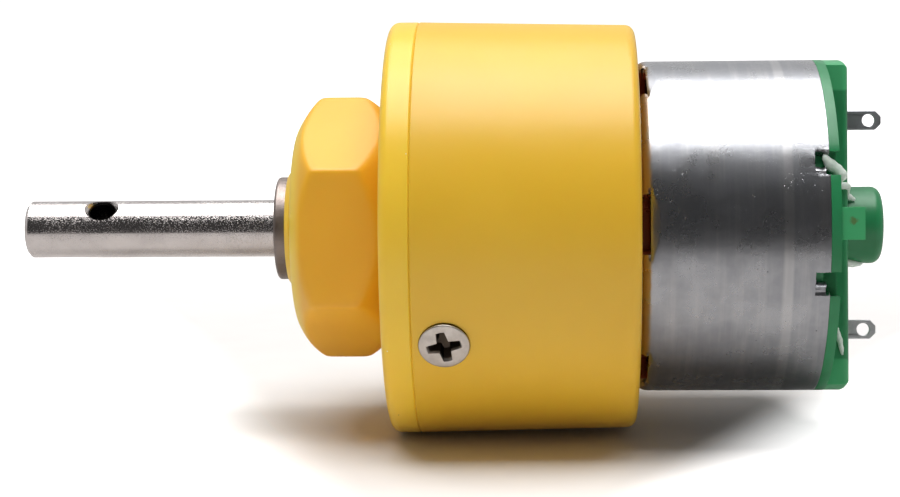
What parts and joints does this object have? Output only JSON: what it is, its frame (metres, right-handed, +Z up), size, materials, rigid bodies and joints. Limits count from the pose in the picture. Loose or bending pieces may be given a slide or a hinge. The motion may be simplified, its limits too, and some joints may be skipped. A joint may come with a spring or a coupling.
{
  "type": "geared dc motor",
  "caption": "Round spur gearbox with a cross-drilled output shaft, threaded neck and hex nut, driven by a brushed DC can motor with flat lug terminals.",
  "frame": {"origin": "on the output shaft's axis, in the gearbox's front face, where the face meets the panel it is mounted on", "axes": "+X along the shaft axis from the output shaft towards the motor's terminals, +Z up with the unit lying on its round side"},
  "size_m": [0.0898, 0.043, 0.043],
  "materials": {
    "steel_shaft": "ground bright steel",
    "bush_metal": "sintered iron, oiled",
    "nut_plastic": "moulded, satin, orange-yellow",
    "cover_plastic": "moulded, semi-gloss yellow",
    "housing_plastic": "moulded, semi-gloss yellow",
    "screw_nickel": "nickel plated",
    "gear_nylon": "natural nylon",
    "gear_steel": "sintered steel",
    "pin_steel": "ground pin",
    "brass": "machined",
    "can_zinc": "zinc plated, drawn",
    "magnet_ferrite": "matt",
    "spring_steel": "blued",
    "cap_plastic": "moulded green",
    "terminal_tin": "tin plated",
    "carbon": "graphite",
    "lamination": "stacked laminations",
    "copper_wire": "enamelled copper wire",
    "copper": "turned copper",
    "phenolic": "moulded phenolic"
  },
  "bodies": {
    "gearbox": {"front_cover": "cover_plastic", "gearbox_housing": "housing_plastic", "cover_screws": "screw_nickel", "gear_posts": "pin_steel", "post_washers": "phenolic", "front_bush": "bush_metal", "rear_bush": "bush_metal", "thrust_washer": "pin_steel", "motor_can": "can_zinc", "motor_screws": "screw_nickel", "magnets": "magnet_ferrite", "magnet_springs": "spring_steel", "can_bearing": "bush_metal", "cap_bearing": "bush_metal", "end_cap": "cap_plastic", "terminal_upper": "terminal_tin", "terminal_lower": "terminal_tin", "brush_upper": "carbon", "brush_lower": "carbon"},
    "output": {"output_shaft": "steel_shaft", "output_gear": "gear_steel", "shaft_snap_ring": "spring_steel"},
    "gear_1": {"compound_gear_1": "gear_nylon"},
    "gear_2": {"compound_gear_2": "gear_nylon"},
    "rotor": {"rotor_shaft": "steel_shaft", "motor_pinion": "brass", "rotor_core": "lamination", "rotor_windings": "copper_wire", "rotor_spacer": "phenolic", "rotor_washers": "phenolic", "commutator_hub": "phenolic", "commutator_segments": "copper"},
    "nut": {"mounting_nut": "nut_plastic"}
  },
  "joints": [
    {"name": "rotor_spin", "type": "hinge", "parent": "gearbox", "child": "rotor", "pos_m": [0, 0, 0], "axis": [1, 0, 0], "continuous": true},
    {"name": "gear_1_spin", "type": "hinge", "parent": "gearbox", "child": "gear_1", "pos_m": [0, 0.00525, -0.00909], "axis": [1, 0, 0], "continuous": true},
    {"name": "gear_2_spin", "type": "hinge", "parent": "gearbox", "child": "gear_2", "pos_m": [0, -0.00525, -0.00909], "axis": [1, 0, 0], "continuous": true},
    {"name": "output_spin", "type": "hinge", "parent": "gearbox", "child": "output", "pos_m": [0, 0, 0], "axis": [1, 0, 0], "continuous": true},
    {"name": "nut_travel", "type": "slide", "parent": "gearbox", "child": "nut", "axis": [-1, 0, 0], "range_m": [0, 0.038]}
  ],
  "couplings": [
    {"joint": "gear_1_spin", "follows": "rotor_spin", "ratio": -0.4},
    {"joint": "gear_2_spin", "follows": "rotor_spin", "ratio": 0.16},
    {"joint": "output_spin", "follows": "rotor_spin", "ratio": -0.064}
  ]
}
